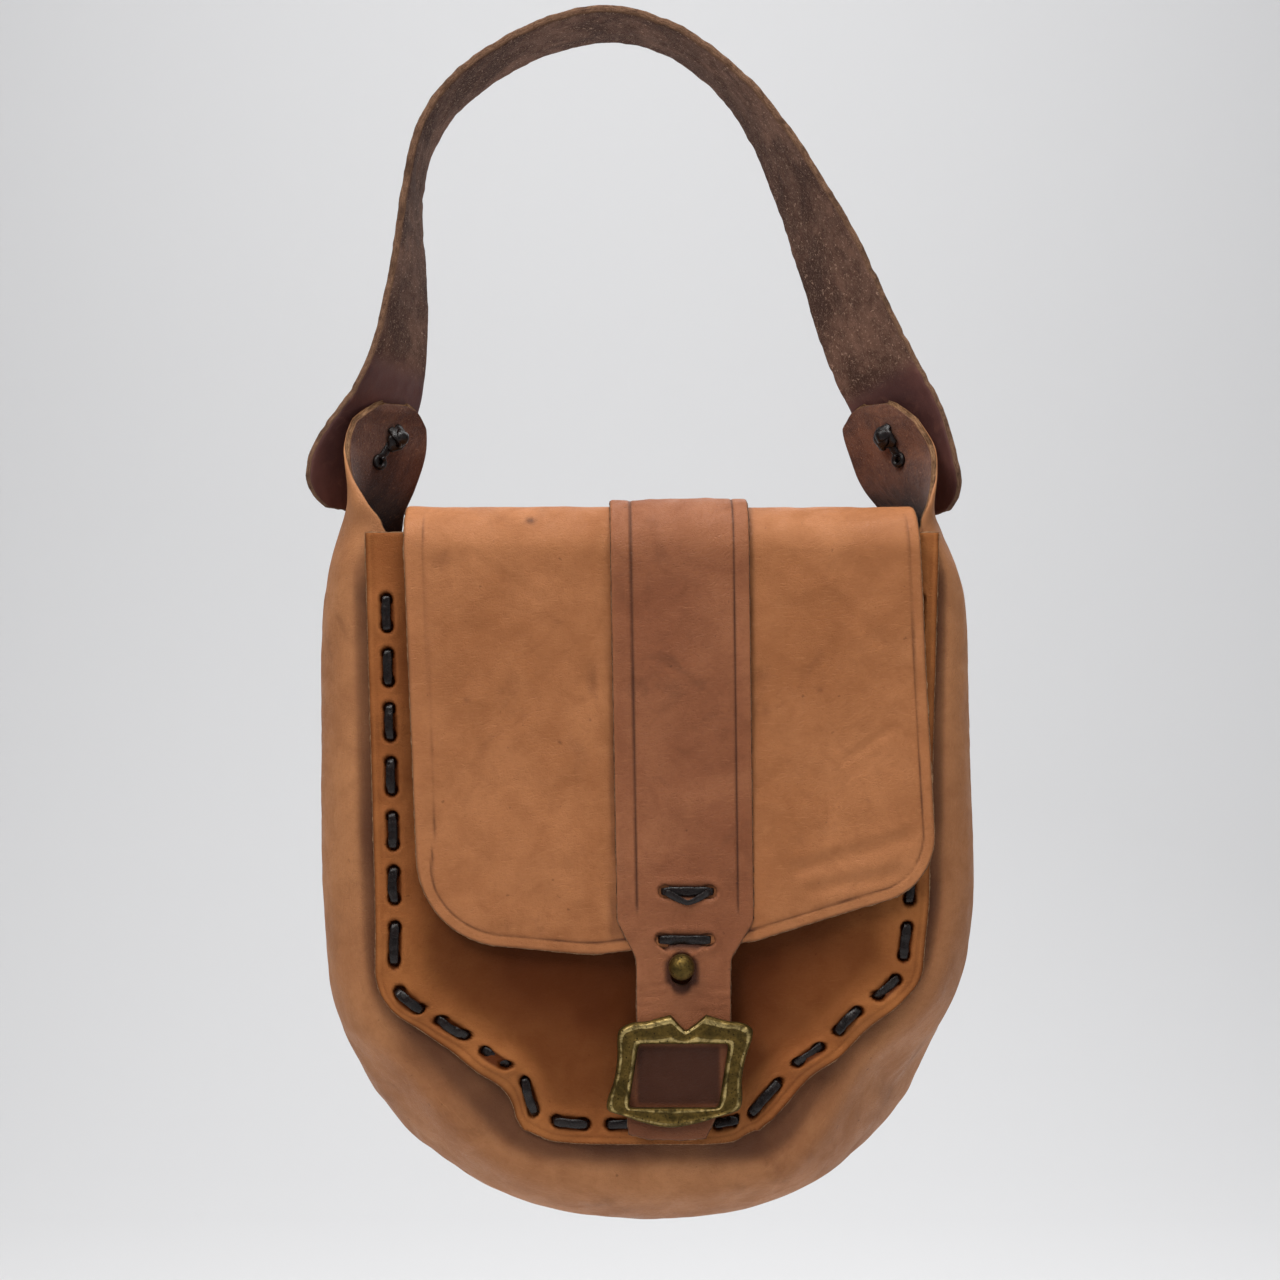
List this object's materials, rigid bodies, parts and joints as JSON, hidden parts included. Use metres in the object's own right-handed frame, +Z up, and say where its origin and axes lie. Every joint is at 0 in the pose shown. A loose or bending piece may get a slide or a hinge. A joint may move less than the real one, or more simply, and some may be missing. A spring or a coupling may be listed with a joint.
{
  "type": "shoulder satchel",
  "caption": "Laced leather shoulder satchel with a front flap, a centre strap that buttons over a ball stud, a threaded buckle and a wide shoulder strap.",
  "frame": {"origin": "on the inner face of the shoulder strap's crown, where a shoulder or hook carries it, at mid depth", "axes": "+X to the right seen from the front, +Y from the front panel to the back, +Z up; the bag hangs in -Z"},
  "size_m": [0.287, 0.1038, 0.5199],
  "materials": {
    "tan_leather": "worn satin, mottled",
    "strap_leather": "satin, browner than the panels",
    "suede_leather": "matt suede",
    "strap_end_leather": "smooth satin, dark",
    "dark_lace": "glossy waxed",
    "aged_brass": "aged, worn bright on the edges"
  },
  "bodies": {
    "strap_loop": {"shoulder_strap": "suede_leather"},
    "bag": {"gusset": "tan_leather", "front_panel": "tan_leather", "back_panel": "tan_leather", "front_lacing": "dark_lace", "back_lacing": "dark_lace", "stud_ball": "aged_brass", "stud_screw": "aged_brass", "left_strap_end": "strap_end_leather", "right_strap_end": "strap_end_leather", "left_strap_tie": "dark_lace", "right_strap_tie": "dark_lace", "centre_strap_back": "strap_leather", "back_strap_lace": "dark_lace"},
    "flap_over_top": {"flap_top": "tan_leather", "centre_strap_top": "strap_leather"},
    "flap_down_front": {"flap_front": "tan_leather", "centre_strap_front": "strap_leather", "upper_strap_lace": "dark_lace", "lower_strap_lace": "dark_lace"},
    "tongue_end": {"tongue": "strap_leather"},
    "buckle": {"buckle_frame": "aged_brass", "buckle_bar": "aged_brass"}
  },
  "joints": [
    {"name": "strap_swing", "type": "hinge", "parent": "strap_loop", "child": "bag", "pos_m": [0.017, 0, -0.133], "axis": [1, 0, 0], "range_deg": [-25, 25]},
    {"name": "flap_rear_bend", "type": "hinge", "parent": "bag", "child": "flap_over_top", "pos_m": [0.017, 0.03955, -0.21025], "axis": [-1, 0, 0], "range_deg": [0, 20]},
    {"name": "flap_front_bend", "type": "hinge", "parent": "flap_over_top", "child": "flap_down_front", "pos_m": [0.017, -0.04198, -0.21242], "axis": [-1, 0, 0], "range_deg": [0, 110]},
    {"name": "tongue_flex", "type": "hinge", "parent": "flap_down_front", "child": "tongue_end", "pos_m": [0.0295, -0.0486, -0.412], "axis": [-1, 0, 0], "range_deg": [0, 60]},
    {"name": "buckle_slide", "type": "slide", "parent": "tongue_end", "child": "buckle", "axis": [0.1581, 0, 0.9874], "range_m": [-0.003, 0.005]}
  ]
}
